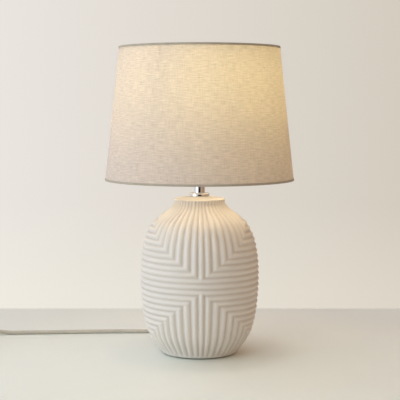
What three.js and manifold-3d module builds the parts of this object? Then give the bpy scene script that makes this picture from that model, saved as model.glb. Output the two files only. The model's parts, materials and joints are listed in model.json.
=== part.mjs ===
// Table lamp: a ribbed ceramic base, a chrome neck, an E27 lampholder and a tapered drum shade on a
// dropped ring fitter, with a mains lead, an in-line rocker switch and a plug. Millimetres, +Z up.
// The origin is on the table, under the centre of the foot. -Y is the front; the lead leaves at the back.
import * as THREE from "three";
import { mergeVertices } from "three/addons/utils/BufferGeometryUtils.js";
import Module from "manifold-3d";

const wasm = await Module();
wasm.setup();

// ---- driving dimensions -------------------------------------------------------------------------
const GAP = 0.3; // between pieces that touch

const FELT = 1.5; // thickness of the pad under the foot
const WALL = 6; // ceramic
const RIM_Z = 246; // top edge of the ceramic
const DOME_Z = 251; // where the chrome flange sits on the ceramic
// Outside of the ceramic as radius and height: foot, belly, shoulder and neck.
const BASE_OUTLINE = [
  [60.5, FELT + GAP + 0.8], [69.8, 14], [82.2, 33], [89.7, 60], [93.5, 90], [95, 120], [94, 150],
  [90.1, 176], [84.4, 194], [75, 210.5], [60.2, 222.7], [47, 232.4], [41.2, 240], [40.7, RIM_Z],
];
const BASE_STEPS = 18; // points along the outline
const FOOT_HOLE = 40; // radius of the opening under the foot
const ROD = { outer: 4.9, bore: 3.7, top: 326 };
const FLANGE = { radius: 15.75, height: 5 };
const STEM = { radius: 8.5, top: 318 };

const HOLDER_Z = STEM.top + GAP; // underside of the lampholder
const HOLDER = { radius: 19.4, capHeight: 19.7, top: 373, shoulder: 349 };
const BULB_Z = 346.3; // tip of the bulb's centre contact
const BULB = { length: 105, radius: 30, capRadius: 13.1, capTop: 373 };

const SHADE = { bottom: 277, top: 487, rBottom: 150, rTop: 126.5 };
const FABRIC = 0.8, LINER = 1; // wall thicknesses
const HEM = { thick: 0.6, depth: 5, inner: 6.7 }; // turned edge around the ring wires
const WIRE = 1.5; // radius of the ring and arm wires
const CARRIER = { inner: 20.4, outer: 27, z: HOLDER.shoulder + GAP, thick: 1.6 };
const ARM_ANGLES = [3, 123, 243]; // degrees about Z from +X

const LEAD_R = 3.25; // the mains lead is 6.5 across
const EXIT_Z = 18; // height of the lead's hole in the back of the base
const RELIEF = { inside: 52, neck: 80, tip: 103, root: 5.8, end: 4.2, bore: 3.6 };
const SWITCH = { x: -383.5, y: 126.5, length: 62, width: 26, height: 15, split: 7.2, entry: 6.5 };
const ROCKER = { half: 7.8, width: 10.4, pivot: 10.6, tilt: 8 };
const COIL = { x: -399.8, y: 58, inner: 26.2, outer: 49.4, low: 1, high: 14.2 };
const PLUG = { x: -398.7, y: -14, z: 6.9, width: 35, thick: 13.6, length: 36, relief: 12 };
const PIN = { apart: 18.6, radius: 2, length: 19 };

// ---- finishes -----------------------------------------------------------------------------------
const finish = (color, roughness, metalness = 0) => ({ color, roughness, metalness });
const CERAMIC = finish(0xe4ded2, 0.45), CHROME = finish(0xd8dadd, 0.12, 1);
const STEEL = finish(0x9a9b9d, 0.4, 1), WHITE_WIRE = finish(0xe8e6df, 0.45);
const BRASS = finish(0xb89b5e, 0.35, 1), BLACK_PLASTIC = finish(0x2a2826, 0.5);
const FELT_CLOTH = finish(0x55504a, 1), RUBBER = finish(0x35332f, 0.8);
const LINEN = finish(0xcbbfae, 0.95), PVC = finish(0xf1ece0, 0.5), HEM_CLOTH = finish(0x8c8276, 0.95);
const OPAL = finish(0xfff3dc, 0.35), BULB_PLASTIC = finish(0xf2f0ea, 0.45);
const LEAD_SHEATH = finish(0xb3ab9b, 0.55), CREAM_PLASTIC = finish(0xbdb5a6, 0.4);
const BROWN_CORE = finish(0x6b4229, 0.5), BLUE_CORE = finish(0x3b5f8f, 0.5);

// ---- shape helpers ------------------------------------------------------------------------------
const lamp = new THREE.Group();

function add(name, geometry, look, parent = lamp) {
  const mesh = new THREE.Mesh(geometry, new THREE.MeshStandardMaterial(look));
  mesh.name = name;
  parent.add(mesh);
  return mesh;
}

// A turned solid about +Z from [radius, height] points that go up the outside and down the inside.
function turned(profile, segments = 28) {
  const points = profile.map(([r, z]) => new THREE.Vector2(r, z));
  if (profile[0][0] > 0) points.push(points[0].clone());
  return new THREE.LatheGeometry(points, segments).rotateX(Math.PI / 2);
}

const hollow = (outer, inner, low, high, segments) =>
  turned([[inner, low], [outer, low], [outer, high], [inner, high]], segments);

const disc = (radius, low, high, segments) =>
  turned([[0, low], [radius, low], [radius, high], [0, high]], segments);

function torus(ringRadius, wireRadius, z, segments = 40) {
  return new THREE.TorusGeometry(ringRadius, wireRadius, 6, segments).translate(0, 0, z);
}

function tube(points, radius, steps, sides = 8) {
  const path = new THREE.CatmullRomCurve3(points.map((p) => new THREE.Vector3(...p)), false, "centripetal");
  const section = new THREE.Shape();
  for (let i = 0; i < sides; i++) {
    const a = (2 * Math.PI * (i + 0.5)) / sides;
    const corner = [radius * Math.cos(a), radius * Math.sin(a)];
    if (i) section.lineTo(...corner);
    else section.moveTo(...corner);
  }
  section.closePath();
  return new THREE.ExtrudeGeometry(section, { steps, bevelEnabled: false, extrudePath: path });
}

function roundedRectangle(width, height, r) {
  const [x, y] = [width / 2, height / 2];
  const s = new THREE.Shape();
  s.moveTo(-x + r, -y).lineTo(x - r, -y).absarc(x - r, -y + r, r, -Math.PI / 2, 0);
  s.lineTo(x, y - r).absarc(x - r, y - r, r, 0, Math.PI / 2);
  s.lineTo(-x + r, y).absarc(-x + r, y - r, r, Math.PI / 2, Math.PI);
  s.lineTo(-x, -y + r).absarc(-x + r, -y + r, r, Math.PI, 1.5 * Math.PI);
  return s;
}

const slab = (shape, depth, curveSegments = 5) =>
  new THREE.ExtrudeGeometry(shape, { depth, bevelEnabled: false, curveSegments });

// ---- joining and cutting ------------------------------------------------------------------------
function solid(geometry) {
  const bare = geometry.clone();
  bare.deleteAttribute("normal");
  bare.deleteAttribute("uv");
  const merged = mergeVertices(bare, 1e-3);
  return new wasm.Manifold(
    new wasm.Mesh({
      numProp: 3,
      vertProperties: merged.attributes.position.array,
      triVerts: new Uint32Array(merged.index.array),
    }),
  );
}

function geometryOf(made) {
  const m = made.getMesh();
  const g = new THREE.BufferGeometry();
  g.setAttribute("position", new THREE.BufferAttribute(m.vertProperties, 3));
  g.setIndex(new THREE.BufferAttribute(m.triVerts, 1));
  return g;
}

const cut = (geometry, ...tools) =>
  geometryOf(tools.reduce((left, tool) => left.subtract(solid(tool)), solid(geometry)));

const joined = (geometry, ...others) =>
  geometryOf(others.reduce((whole, other) => whole.add(solid(other)), solid(geometry)));

// ---- base ---------------------------------------------------------------------------------------
const footZ = FELT + GAP;
const outline = new THREE.SplineCurve(BASE_OUTLINE.map(([r, z]) => new THREE.Vector2(r, z)));

function ceramicBase() {
  const outside = outline.getPoints(BASE_STEPS);
  const inside = [];
  for (let i = 2; i <= BASE_STEPS - 3; i++) {
    const at = outline.getPoint(i / BASE_STEPS), along = outline.getTangent(i / BASE_STEPS);
    inside.unshift([at.x - WALL * along.y, at.y + WALL * along.x]);
  }
  const underDome = DOME_Z - WALL;
  return cut(
    turned([
      [FOOT_HOLE, footZ], [59, footZ], ...outside.map((p) => [p.x, p.y]),
      [39, RIM_Z + 1], [28, RIM_Z + 3.6], [17, DOME_Z], [5.6, DOME_Z],
      [5.6, underDome], [20, underDome], [30, underDome - 3], ...inside,
      [56, footZ + WALL], [FOOT_HOLE, footZ + WALL],
    ], 36),
    new THREE.CylinderGeometry(RELIEF.root + GAP, RELIEF.root + GAP, 50, 20).translate(0, 65, EXIT_Z),
  );
}

function base() {
  add("felt_pad", disc(52, 0, FELT, 48), FELT_CLOTH);
  add("ceramic_base", ceramicBase(), CERAMIC);
  const seat = DOME_Z - WALL - GAP; // stack under the ceramic's top, downwards
  add("rubber_washer", hollow(18, 5.4, seat - 2.2, seat, 32), RUBBER);
  add("steel_washer", hollow(16, 5.2, seat - 4, seat - 2.5, 32), STEEL);
  add("rod_nut", cut(disc(9.8, seat - 10.3, seat - 4.3, 6), disc(5.3, seat - 11, seat - 4, 24)), STEEL);
  add("threaded_rod", hollow(ROD.outer, ROD.bore, seat - 18, ROD.top, 24), STEEL);
  add("cord_relief", cordRelief(), LEAD_SHEATH);
}

function cordRelief() {
  const { bore, inside, neck, tip, root, end } = RELIEF;
  return turned([
    [bore, inside], [7.4, inside], [7.4, inside + 2], [root, inside + 2], [root, neck - 3],
    [root - 0.4, neck], [end, tip], [bore, tip],
  ], 20).rotateX(-Math.PI / 2).translate(0, 0, EXIT_Z);
}

// ---- chrome neck --------------------------------------------------------------------------------
function neck() {
  const low = DOME_Z + GAP, { radius, height } = FLANGE;
  add("neck_flange", turned([
    [5.2, low], [radius, low], [radius, low + height - 1.2], [radius - 1.2, low + height],
    [5.2, low + height],
  ], 32), CHROME);
  add("neck_tube", hollow(STEM.radius, 5.2, low + height + GAP, STEM.top, 32), CHROME);
}

// ---- lampholder ---------------------------------------------------------------------------------
function lampholder() {
  const { radius, capHeight, top, shoulder } = HOLDER;
  const capTop = HOLDER_Z + capHeight;
  add("holder_cap", turned([
    [5.2, HOLDER_Z], [10, HOLDER_Z], [17.2, HOLDER_Z + 5], [radius, HOLDER_Z + 12], [radius, capTop],
    [radius - 2, capTop], [radius - 2, HOLDER_Z + 12.5], [15.4, HOLDER_Z + 6.8], [9, HOLDER_Z + 3],
    [5.2, HOLDER_Z + 3],
  ], 24), BLACK_PLASTIC);
  add("terminal_block", disc(16.8, HOLDER_Z + 13.5, capTop + 3.5, 32), BULB_PLASTIC);
  add("holder_shell", turned([
    [14.3, capTop + GAP + 4], [17.2, capTop + GAP + 4], [17.2, capTop + GAP], [radius, capTop + GAP],
    [radius, shoulder - 3], [23, shoulder - 2], [23, shoulder], [radius, shoulder], [radius, top],
    [14.3, top],
  ], 28), BLACK_PLASTIC);
  const blockTop = capTop + 3.5 + GAP;
  add("centre_contact", new THREE.BoxGeometry(5, 4, BULB_Z - GAP - blockTop)
    .translate(0, 0, (BULB_Z - GAP + blockTop) / 2), BRASS);
  add("side_contact", new THREE.BoxGeometry(3, 0.5, 8).translate(0, 13.75, blockTop + 5), BRASS);
  add("shade_ring", turned([
    [HOLDER.radius + 0.5, CARRIER.z + CARRIER.thick + GAP], [25.5, CARRIER.z + CARRIER.thick + GAP],
    [25.5, CARRIER.z + 4], [23.4, CARRIER.z + 10], [HOLDER.radius + 0.5, CARRIER.z + 10],
  ], 36), BLACK_PLASTIC);
  wiring(HOLDER_Z + 13.2);
}

// The lead inside the lamp, from the relief's tip to the lampholder, and its two cores to the terminals.
function wiring(underBlock) {
  add("inner_lead", tube([
    [0, RELIEF.tip, EXIT_Z], [0, 60, EXIT_Z], [0, 50, EXIT_Z], [0, 42, 19.5], [0, 24, 33], [0, 7, 66],
    [0, 0, 110], [0, 0, 180], [0, 0, ROD.top],
  ], LEAD_R - 0.05, 24), LEAD_SHEATH);
  for (const [name, side, look] of [["live_core", 1, BROWN_CORE], ["neutral_core", -1, BLUE_CORE]])
    add(name, tube([
      [side * 1.5, 0, ROD.top + GAP], [side * 1.6, 0, ROD.top + 1.4], [side * 8, 0, underBlock - 1.8],
      [side * 8.2, 0, underBlock],
    ], 1.1, 6, 6), look);
}

// ---- bulb ---------------------------------------------------------------------------------------
function bulb() {
  const { length, radius, capRadius, capTop } = BULB;
  const centre = BULB_Z + length - radius;
  const button = BULB_Z + 1.8;
  add("bulb_contact", turned([[0, BULB_Z], [3, BULB_Z], [4.5, button], [0, button]], 20), BRASS);
  const insulator = button + GAP, insulatorTop = insulator + 2.5;
  add("bulb_insulator", turned([
    [0, insulator], [5, insulator], [9, insulatorTop], [0, insulatorTop],
  ], 24), BLACK_PLASTIC);
  const capLow = insulatorTop + GAP;
  add("bulb_screw_cap", turned([
    [0, capLow], [9.5, capLow], [capRadius - 0.6, capLow + 2.5], [capRadius, capLow + 4],
    [capRadius, capTop - 1], [capRadius - 0.4, capTop], [0, capTop],
  ], 32), STEEL);
  const collarTop = centre - 20;
  const collar = capTop + GAP;
  add("bulb_housing", turned([
    [0, collar], [13.4, collar], [14.8, collar + 4], [18.6, collar + 15], [22.4, collarTop],
    [21, collarTop], [18, collarTop - 2.2], [0, collarTop - 2.2],
  ], 24), BULB_PLASTIC);
  add("led_board", disc(16.5, collarTop - 1.9, collarTop - 0.7, 32), STEEL);
  const dome = [], steps = 9;
  const low = Math.asin((collarTop + GAP - centre) / radius);
  for (let i = 0; i <= steps; i++) {
    const a = low + ((Math.PI / 2 - low) * i) / steps;
    dome.push([radius * Math.cos(a), centre + radius * Math.sin(a)]);
  }
  const inner = dome.slice().reverse().map(([r, z]) => [r * 0.95, centre + (z - centre) * 0.95]);
  inner[inner.length - 1][1] = dome[0][1];
  dome[steps][0] = inner[0][0] = 0;
  add("bulb_globe", turned([...dome, ...inner], 24), OPAL);
}

// ---- shade --------------------------------------------------------------------------------------
const shadeRadius = (z) =>
  SHADE.rBottom + ((SHADE.rTop - SHADE.rBottom) * (z - SHADE.bottom)) / (SHADE.top - SHADE.bottom);

// A ring of the shade's wall between two depths in from its outer face.
function shadeWall(from, to, low, high, segments = 40) {
  return turned([
    [shadeRadius(low) - to, low], [shadeRadius(low) - from, low],
    [shadeRadius(high) - from, high], [shadeRadius(high) - to, high],
  ], segments);
}

// The turned edge: outer leg, fold and inner leg around the ring wire. up is 1 below and -1 above.
function hem(edge, up) {
  const { thick, depth, inner } = HEM;
  const at = (depthIn, h) => [shadeRadius(edge + up * h) - depthIn, edge + up * h];
  const profile = [
    at(0, 0), at(0, depth), at(thick, depth), at(thick, thick), at(inner, thick),
    at(inner, depth), at(inner + thick, depth), at(inner + thick, 0),
  ];
  return turned(up > 0 ? profile : profile.reverse(), 40);
}

function shade() {
  const low = SHADE.bottom + HEM.thick + GAP, high = SHADE.top - HEM.thick - GAP;
  const liner = HEM.thick + 2 * GAP + FABRIC;
  add("shade_fabric", shadeWall(HEM.thick + GAP, HEM.thick + GAP + FABRIC, low, high), LINEN);
  add("shade_liner", shadeWall(liner, liner + LINER, low, high), PVC);
  const ringIn = liner + LINER + GAP + WIRE;
  const lowRing = low + WIRE, highRing = high - WIRE;
  add("bottom_ring", torus(shadeRadius(lowRing) - ringIn, WIRE, lowRing), WHITE_WIRE);
  add("top_ring", torus(shadeRadius(highRing) - ringIn, WIRE, highRing), WHITE_WIRE);
  add("bottom_hem", hem(SHADE.bottom, 1), HEM_CLOTH);
  add("top_hem", hem(SHADE.top, -1), HEM_CLOTH);
  const { inner, outer, z, thick } = CARRIER;
  add("carrier_ring", hollow(outer, inner, z, z + thick, 40), WHITE_WIRE);
  // the arms end under the top ring, beside the liner
  const start = outer + GAP + WIRE;
  const end = shadeRadius(highRing) - ringIn - 0.15, armTop = highRing - WIRE - GAP;
  ARM_ANGLES.forEach((angle, i) => {
    const arm = new THREE.Group();
    arm.rotation.z = THREE.MathUtils.degToRad(angle);
    lamp.add(arm);
    add("carrier_arm_" + (i + 1), tube([
      [start, 0, z + thick / 2], [start + 5, 0, z + 4], [(start + end) / 2, 0, (z + armTop) / 2 - 8],
      [end - 9, 0, armTop - 29], [end - 1, 0, armTop - 17], [end + 0.2, 0, armTop - 8], [end, 0, armTop],
    ], WIRE, 12), WHITE_WIRE, arm);
  });
}

// ---- mains lead ---------------------------------------------------------------------------------
// Routes along the lead's centre, from the relief's tip to the plug. The coil lies between link and tail.
const RUN = [
  [0, RELIEF.tip + GAP, EXIT_Z], [0, 109, 17.8], [-2.4, 119, 16], [-10, 130, 12.6], [-23, 138, 8.8],
  [-40, 141.8, 5.6], [-62, 142.2, 3.8], [-94, 141.3, 3.5], [-136, 140.8, 3.5], [-177, 139, 3.5],
  [-219, 136, 3.5], [-260, 133, 3.5], [-301, 130.3, 3.5], [-330, 128.2, 3.8], [-351, 127, 6.2],
];
const LINK = [
  [-416, 126.4, 6.4], [-426.2, 124.6, 5.7], [-435.2, 119.4, 4.8], [-441.8, 111.5, 4.3],
  [-445.3, 101.8, 4.1], [-445.8, 94, 4.1], [-445.8, 86, 4.2],
];
const TAIL = [
  [-446, 31, 8], [-446, 17, 5.4], [-444.3, 6.8, 4.4], [-439.2, -2.5, 4.1], [-430.9, -9.5, 4.5],
  [-421, -13.3, 5.7], [PLUG.x - PLUG.relief - 4, PLUG.y, PLUG.z - 0.3],
  [PLUG.x - PLUG.relief - GAP, PLUG.y, PLUG.z],
];

function mainsLead() {
  add("cord_run", tube(RUN, LEAD_R, 28), LEAD_SHEATH);
  add("cord_link", tube(LINK, LEAD_R, 7), LEAD_SHEATH);
  const ring = hollow(COIL.outer, COIL.inner, COIL.low, COIL.high, 32);
  add("cord_coil", ring.translate(COIL.x, COIL.y, 0), LEAD_SHEATH);
  add("cord_tail", tube(TAIL, LEAD_R, 8), LEAD_SHEATH);
  add("coil_tie", coilTie(), BLACK_PLASTIC);
}

// A strap round the coil's section, on the side away from the switch.
function coilTie() {
  const thick = 0.6, width = 8, slack = 0.5;
  const [across, tall] = [COIL.outer - COIL.inner + 2 * slack, COIL.high - COIL.low + 2 * GAP];
  const outside = roundedRectangle(across + 2 * thick, tall + 2 * thick, 1);
  outside.holes.push(roundedRectangle(across, tall, 0.4));
  return slab(outside, width, 2).translate(0, 0, -width / 2).rotateX(Math.PI / 2)
    .translate(COIL.x + (COIL.inner + COIL.outer) / 2, COIL.y, (COIL.low + COIL.high) / 2);
}

// ---- in-line switch -----------------------------------------------------------------------------
function inlineSwitch() {
  const { x, y, length, width, height, split, entry } = SWITCH;
  const body = new THREE.Group();
  body.position.set(x, y, 0);
  lamp.add(body);
  const plan = roundedRectangle(length, width, 9), cavity = roundedRectangle(length - 4, width - 4, 7);
  const bore = new THREE.CylinderGeometry(LEAD_R + GAP, LEAD_R + GAP, length + 2, 16)
    .rotateZ(Math.PI / 2).translate(0, 0, entry);
  const window = new THREE.BoxGeometry(2 * ROCKER.half + 1.2, ROCKER.width + 0.8, 20).translate(0, 0, 15);
  add("switch_base", cut(
    slab(plan, split - 0.2).translate(0, 0, 0.2), slab(cavity, split).translate(0, 0, 2), bore,
    ...screwHoles(),
  ), CREAM_PLASTIC, body);
  const lid = split + GAP;
  add("switch_cover", cut(
    slab(plan, height - lid).translate(0, 0, lid),
    slab(cavity, height - lid - 1).translate(0, 0, lid - 1), bore, window,
  ), CREAM_PLASTIC, body);
  rocker(body);
  add("switch_contact", new THREE.BoxGeometry(18, 4, 0.8).translate(0, 0, 4.2), BRASS, body);
  [-1, 1].forEach((side, i) =>
    add("switch_screw_" + (i + 1), joined(
      disc(2.4, 0.5, 1.9, 16), disc(1.3, 1.8, 6.5, 16),
    ).translate(side * 19, -side * 7.5, 0), STEEL, body));
}

const screwHoles = () =>
  [-1, 1].map((side) => disc(2.8, -1, 9, 16).translate(side * 19, -side * 7.5, 0));

// The rocker lies tilted to its on side and rocks about a pin across the switch.
function rocker(body) {
  const { half, width, pivot, tilt } = ROCKER;
  const s = new THREE.Shape();
  s.moveTo(-half, 0).lineTo(-half * 0.6, -3.4).lineTo(half * 0.6, -3.4).lineTo(half, 0);
  s.lineTo(half - 0.2, 5.4).lineTo(0, 4.2).lineTo(-half + 0.2, 5.4).closePath();
  const key = slab(s, width).translate(0, 0, -width / 2).rotateX(Math.PI / 2);
  const mesh = add("switch_rocker", key, CREAM_PLASTIC, body);
  mesh.position.z = pivot;
  mesh.rotation.y = THREE.MathUtils.degToRad(tilt);
}

// ---- plug ---------------------------------------------------------------------------------------
// A flat two-pin plug lying on its side, cord end towards -X.
function plug() {
  const { x, y, z, width, thick, length, relief } = PLUG;
  const body = new THREE.Group();
  body.position.set(x, y, z);
  lamp.add(body);
  const s = new THREE.Shape();
  const [neck, shoulder, edge] = [length * 0.35, length * 0.7, width / 2];
  s.moveTo(0, -7).lineTo(neck, -10).lineTo(shoulder, -edge).lineTo(length, -edge);
  s.lineTo(length, edge).lineTo(shoulder, edge).lineTo(neck, 10).lineTo(0, 7).closePath();
  const sleeve = new THREE.CylinderGeometry(4.3, 5.6, relief + 1, 16).rotateZ(Math.PI / 2)
    .translate((1 - relief) / 2, 0, 0);
  add("plug_body", joined(slab(s, thick).translate(0, 0, -thick / 2), sleeve), CREAM_PLASTIC, body);
  [-1, 1].forEach((side, i) => {
    const pin = new THREE.CylinderGeometry(PIN.radius, PIN.radius, PIN.length, 16).rotateZ(Math.PI / 2);
    pin.translate(length + GAP + PIN.length / 2, (side * PIN.apart) / 2, 0);
    add("plug_pin_" + (i + 1), pin, BRASS, body);
  });
}

base();
neck();
lampholder();
bulb();
shade();
mainsLead();
inlineSwitch();
plug();

export default lamp;
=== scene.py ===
"""Table lamp with a ribbed ceramic base and a lit linen drum shade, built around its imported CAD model."""
import json
import math

import bpy
import numpy as np
from mathutils import Euler, Matrix, Vector


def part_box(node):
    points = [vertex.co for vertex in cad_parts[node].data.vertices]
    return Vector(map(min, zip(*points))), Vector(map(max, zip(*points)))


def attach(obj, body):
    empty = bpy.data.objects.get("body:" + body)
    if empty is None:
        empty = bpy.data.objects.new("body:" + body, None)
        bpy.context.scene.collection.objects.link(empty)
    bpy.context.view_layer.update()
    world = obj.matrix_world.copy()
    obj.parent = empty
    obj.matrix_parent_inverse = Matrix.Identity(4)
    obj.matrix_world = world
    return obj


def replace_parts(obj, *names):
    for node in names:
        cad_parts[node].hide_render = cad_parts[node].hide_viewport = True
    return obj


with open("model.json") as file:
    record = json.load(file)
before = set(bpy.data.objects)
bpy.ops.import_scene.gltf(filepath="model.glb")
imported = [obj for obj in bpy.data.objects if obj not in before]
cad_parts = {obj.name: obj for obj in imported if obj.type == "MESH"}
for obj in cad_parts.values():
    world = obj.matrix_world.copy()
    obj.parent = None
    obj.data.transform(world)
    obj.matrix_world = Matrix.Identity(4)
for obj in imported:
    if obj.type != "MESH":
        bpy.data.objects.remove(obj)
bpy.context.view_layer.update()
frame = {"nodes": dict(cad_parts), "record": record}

MM = 0.001
NODES = frame["nodes"]


def low(node):
    """Lowest corner of a CAD node, in millimetres."""
    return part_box(node)[0] / MM


def high(node):
    """Highest corner of a CAD node, in millimetres."""
    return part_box(node)[1] / MM


def middle(node):
    """Centre of a CAD node, in millimetres."""
    return (low(node) + high(node)) / 2


# ---- camera ----------------------------------
CAMERA_AT = (0.8, -1740.0, 397.0)
CAMERA_DOWN_DEG = 5.0
LENS = 98.7  # on a 36 mm wide sensor


def camera():
    data = bpy.data.cameras.new("camera")
    data.lens = LENS
    data.sensor_width = 36.0
    data.clip_start, data.clip_end = 0.05, 30.0
    eye = bpy.data.objects.new("camera", data)
    eye.location = Vector(CAMERA_AT) * MM
    eye.rotation_euler = (math.radians(90 - CAMERA_DOWN_DEG), 0, 0)
    bpy.context.scene.collection.objects.link(eye)
    bpy.context.scene.camera = eye


# ---- mesh helpers ----------------------------
def mesh_object(name, points, faces, uvs=None, smooth=True):
    """A mesh from points in millimetres. uvs holds one pair for each corner of each face, in metres."""
    mesh = bpy.data.meshes.new(name)
    mesh.from_pydata((np.asarray(points, float) * MM).tolist(), [], [list(f) for f in faces])
    if uvs is not None:
        mesh.uv_layers.new(name="UVMap").data.foreach_set("uv", np.asarray(uvs, np.float32).reshape(-1))
    mesh.polygons.foreach_set("use_smooth", [smooth] * len(mesh.polygons))
    mesh.update()
    made = bpy.data.objects.new(name, mesh)
    bpy.context.scene.collection.objects.link(made)
    return made


def skin(name, grid, around=True, loop=False, caps=(False, False), smooth=True):
    """A mesh over a grid of points, [row, column, xyz] in millimetres, with columns to the left of rows.

    around joins the last column to the first, and loop the last row to the first. caps closes each end
    with one face. The UV map is in metres: along the columns, and along the rows.
    """
    grid = np.asarray(grid, float)
    rows, columns = grid.shape[:2]
    r = np.arange(rows if loop else rows - 1)
    c = np.arange(columns if around else columns - 1)
    r, c = [a.reshape(-1) for a in np.meshgrid(r, c, indexing="ij")]
    r2, c2 = (r + 1) % rows, (c + 1) % columns
    faces = np.stack([r * columns + c, r * columns + c2, r2 * columns + c2, r2 * columns + c], 1)
    u = np.linalg.norm(np.diff(grid, axis=1, append=grid[:, :1]), axis=2).mean(0)
    v = np.linalg.norm(np.diff(grid, axis=0, append=grid[:1]), axis=2).mean(1)
    u, v = (np.concatenate([[0], np.cumsum(a)]) * MM for a in (u, v))
    corners_u = np.stack([u[c], u[c + 1], u[c + 1], u[c]], 1)
    corners_v = np.stack([v[r], v[r], v[r + 1], v[r + 1]], 1)
    uvs = np.stack([corners_u, corners_v], 2)
    faces, uvs = faces.tolist(), uvs.reshape(-1, 2).tolist()
    for end, first in ((caps[0], 0), (caps[1], (rows - 1) * columns)):
        if end:
            ring = list(range(first, first + columns))
            faces.append(ring[::-1] if first == 0 else ring)
            uvs += [(grid.reshape(-1, 3)[i][:2] * MM).tolist() for i in faces[-1]]
    return mesh_object(name, grid.reshape(-1, 3), faces, uvs, smooth)


def held(profile, loop):
    """A profile with a point close to each end of its long flats, so that smooth shading keeps them flat."""
    rows = [profile[0]]
    ends = [*profile[1:], profile[0]] if loop else profile[1:]
    for start, end in zip(profile, ends):
        start, end = np.array(start, float), np.array(end, float)
        long = np.linalg.norm(end - start)
        if long > 1.6:
            rows += [start + (end - start) * 0.2 / long, end - (end - start) * 0.2 / long]
        rows.append(end)
    return np.array([tuple(row) for row in (rows[:-1] if loop else rows)])


def turned(name, profile, segments=96, loop=False, ripple=None):
    """A surface turned about +Z from [radius, height] points, which go up the outside.

    loop closes the profile on itself. ripple(angle, height, radius) adds to the radius.
    """
    profile = held(profile, loop)
    angle = np.linspace(0, 2 * math.pi, segments, endpoint=False)
    radius = np.repeat(profile[:, :1], segments, 1)
    height = np.repeat(profile[:, 1:], segments, 1)
    if ripple is not None:
        radius = radius + ripple(angle[None, :], height, radius)
    return skin(name, np.stack([radius * np.cos(angle), radius * np.sin(angle), height], 2), loop=loop)


def smooth_path(points, step):
    """Points about step apart along a smooth curve through the given ones (a centripetal spline)."""
    p = np.asarray(points, float)
    p = np.concatenate([[2 * p[0] - p[1]], p, [2 * p[-1] - p[-2]]])
    out = []
    for i in range(1, len(p) - 2):
        a, b, c, d = p[i - 1 : i + 3]
        gaps = [np.linalg.norm(q) ** 0.5 + 1e-9 for q in (b - a, c - b, d - c)]
        t = np.concatenate([[0], np.cumsum(gaps)])
        for s in np.linspace(t[1], t[2], 24, endpoint=False):
            ab = [((t[k + 1] - s) * q0 + (s - t[k]) * q1) / (t[k + 1] - t[k])
                  for k, (q0, q1) in enumerate(((a, b), (b, c), (c, d)))]
            bc = [((t[k + 2] - s) * ab[k] + (s - t[k]) * ab[k + 1]) / (t[k + 2] - t[k]) for k in (0, 1)]
            out.append(((t[2] - s) * bc[0] + (s - t[1]) * bc[1]) / (t[2] - t[1]))
    return evenly(np.array(out + [p[-2]]), step)


def evenly(line, step):
    """The same line with its points evenly spaced, about step apart."""
    along = np.concatenate([[0], np.cumsum(np.linalg.norm(np.diff(line, axis=0), axis=1))])
    at = np.linspace(0, along[-1], max(2, round(along[-1] / step) + 1))
    return np.stack([np.interp(at, along, line[:, k]) for k in range(3)], 1)


def swept(name, path, radius, sides=16, caps=(True, True), loop=False):
    """A round tube along a path. radius is a number, or one for each point of the path."""
    path = np.asarray(path, float)
    ahead = np.roll(path, -1, 0) - np.roll(path, 1, 0) if loop else np.gradient(path, axis=0)
    ahead /= np.linalg.norm(ahead, axis=1)[:, None]
    side = np.cross(ahead[0], [0.0, 0.0, 1.0] if abs(ahead[0][2]) < 0.9 else [1.0, 0.0, 0.0])
    sides_of = []
    for t in ahead:
        side = side - t * side.dot(t)
        side = side / np.linalg.norm(side)
        sides_of.append(side)
    x = np.array(sides_of)
    y = np.cross(ahead, x)
    a = np.linspace(0, 2 * math.pi, sides, endpoint=False)
    radius = np.broadcast_to(np.asarray(radius, float), (len(path),))[:, None, None]
    grid = path[:, None] + radius * (x[:, None] * np.cos(a)[:, None] + y[:, None] * np.sin(a)[:, None])
    return skin(name, grid, loop=loop, caps=(False, False) if loop else caps)


def rounded(width, depth, radius, corner=8):
    """The outline of a rounded rectangle about the origin, anticlockwise, as [x, y] points."""
    turn = np.linspace(0, math.pi / 2, corner)
    out = []
    for k, (sx, sy) in enumerate(((1, 1), (-1, 1), (-1, -1), (1, -1))):
        a = turn + k * math.pi / 2
        centre = (sx * (width / 2 - radius), sy * (depth / 2 - radius))
        out.append(np.stack([centre[0] + radius * np.cos(a), centre[1] + radius * np.sin(a)], 1))
    return np.concatenate(out)


def inset(outline, by):
    """A closed anticlockwise outline moved inwards by a distance."""
    along = np.roll(outline, -1, 0) - np.roll(outline, 1, 0)
    along /= np.linalg.norm(along, axis=1)[:, None]
    return outline + by * np.stack([-along[:, 1], along[:, 0]], 1)


def fillet(bottom, top, low_r, high_r, steps=5):
    """[inset, height] pairs up a wall with a rounded lower and upper edge."""
    a = np.linspace(0, math.pi / 2, steps)
    lower = np.stack([low_r * (1 - np.sin(a)), bottom + low_r * (1 - np.cos(a))], 1)
    upper = np.stack([high_r * (1 - np.cos(a)), top - high_r * (1 - np.sin(a))], 1)
    return np.concatenate([lower, upper])


def slab(name, outline, rows):
    """A closed body over an outline, with an [inset, height] pair for each row from bottom to top."""
    grid = [np.column_stack([inset(outline, by), np.full(len(outline), z)]) for by, z in rows]
    return skin(name, grid, caps=(True, True))


def placed(made, at, turn=(0, 0, 0)):
    """Turns a new piece's mesh about the origin, in degrees, and moves it to a place in millimetres."""
    place = Matrix.Translation(Vector(at) * MM) @ Euler([math.radians(a) for a in turn]).to_matrix().to_4x4()
    made.data.transform(place)
    return made


def cut(made, *tools):
    """Cuts each tool out of a piece and deletes the tools."""
    for tool in tools:
        step = made.modifiers.new("cut", "BOOLEAN")
        step.object, step.operation, step.solver = tool, "DIFFERENCE", "EXACT"
        result = bpy.data.meshes.new_from_object(made.evaluated_get(bpy.context.evaluated_depsgraph_get()))
        made.modifiers.clear()
        made.data = result
        bpy.data.objects.remove(tool)
    return made


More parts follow.
